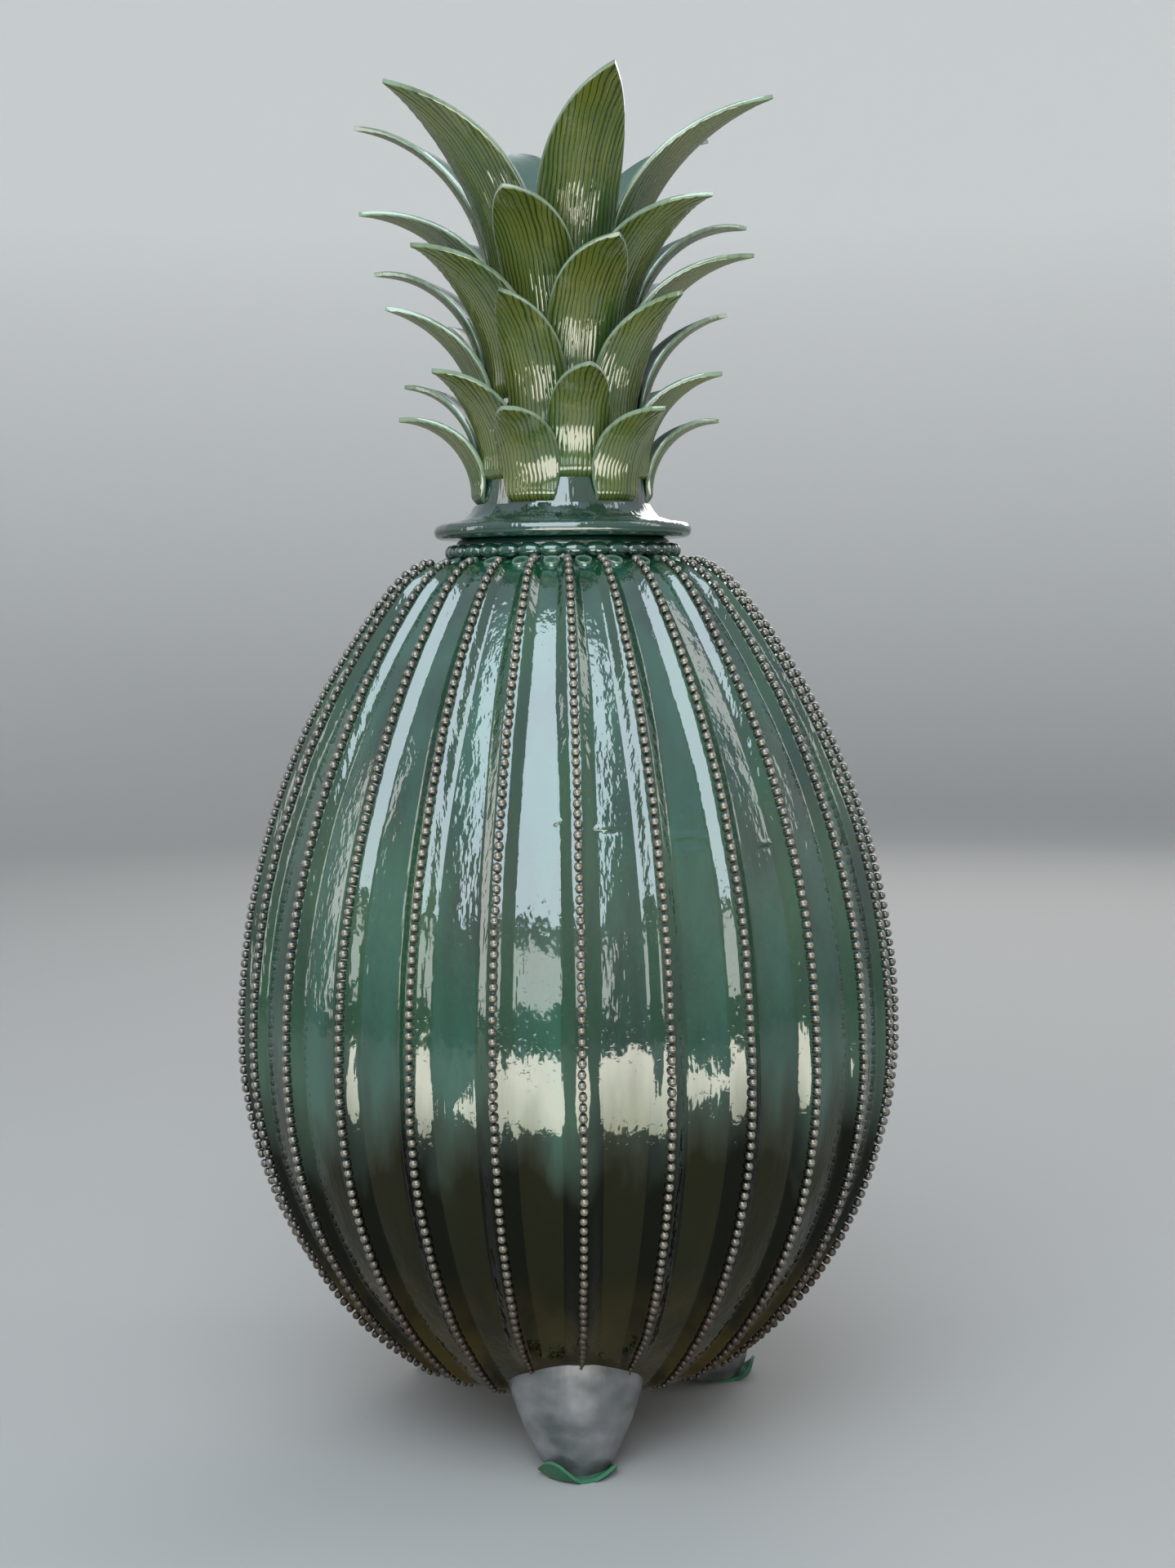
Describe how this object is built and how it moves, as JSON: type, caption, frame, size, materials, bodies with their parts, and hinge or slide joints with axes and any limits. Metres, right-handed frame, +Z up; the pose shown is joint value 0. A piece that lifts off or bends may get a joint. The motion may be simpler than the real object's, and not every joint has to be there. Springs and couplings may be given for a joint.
{
  "type": "pineapple jar",
  "caption": "Lidded earthenware jar shaped like a pineapple: ribbed, beaded round body on three feet, and a lift-off lid with a crown of leaves as its handle.",
  "frame": {"origin": "on the table, under the middle of the jar", "axes": "+Z up along the jar's axis, front foot towards -Y"},
  "size_m": [0.323, 0.3238, 0.6342],
  "materials": {
    "body_glaze": "deep green glaze, glossy, slightly rippled",
    "bead_clay": "glaze worn thin over grey-buff clay beads",
    "leaf_glaze": "olive to emerald glaze over combed clay, glossy",
    "felt": "green felt, matt"
  },
  "bodies": {
    "jar": {"jar_lower_shell": "body_glaze", "jar_upper_shell": "body_glaze", "neck_collar": "body_glaze", "shoulder_petals": "body_glaze", "rib_strips": "body_glaze", "rib_beads": "bead_clay", "foot_front": "body_glaze", "foot_rear_right": "body_glaze", "foot_rear_left": "body_glaze", "foot_pad_front": "felt", "foot_pad_rear_right": "felt", "foot_pad_rear_left": "felt"},
    "lid": {"lid_saucer": "body_glaze", "crown_stem": "body_glaze", "leaf_1_1": "leaf_glaze", "leaf_1_2": "leaf_glaze", "leaf_1_3": "leaf_glaze", "leaf_1_4": "leaf_glaze", "leaf_1_5": "leaf_glaze", "leaf_1_6": "leaf_glaze", "leaf_2_1": "leaf_glaze", "leaf_2_2": "leaf_glaze", "leaf_2_3": "leaf_glaze", "leaf_2_4": "leaf_glaze", "leaf_2_5": "leaf_glaze", "leaf_2_6": "leaf_glaze", "leaf_3_1": "leaf_glaze", "leaf_3_2": "leaf_glaze", "leaf_3_3": "leaf_glaze", "leaf_3_4": "leaf_glaze", "leaf_3_5": "leaf_glaze", "leaf_3_6": "leaf_glaze", "leaf_4_1": "leaf_glaze", "leaf_4_2": "leaf_glaze", "leaf_4_3": "leaf_glaze", "leaf_4_4": "leaf_glaze", "leaf_4_5": "leaf_glaze", "leaf_4_6": "leaf_glaze", "leaf_5_1": "leaf_glaze", "leaf_5_2": "leaf_glaze", "leaf_5_3": "leaf_glaze", "leaf_5_4": "leaf_glaze", "leaf_5_5": "leaf_glaze", "leaf_5_6": "leaf_glaze", "leaf_6_1": "leaf_glaze", "leaf_6_2": "leaf_glaze", "leaf_6_3": "leaf_glaze", "leaf_6_4": "leaf_glaze", "leaf_6_5": "leaf_glaze", "leaf_6_6": "leaf_glaze"}
  },
  "joints": [
    {"name": "lid_lift", "type": "slide", "parent": "jar", "child": "lid", "axis": [0, 0, 1], "range_m": [0, 0.06]}
  ]
}
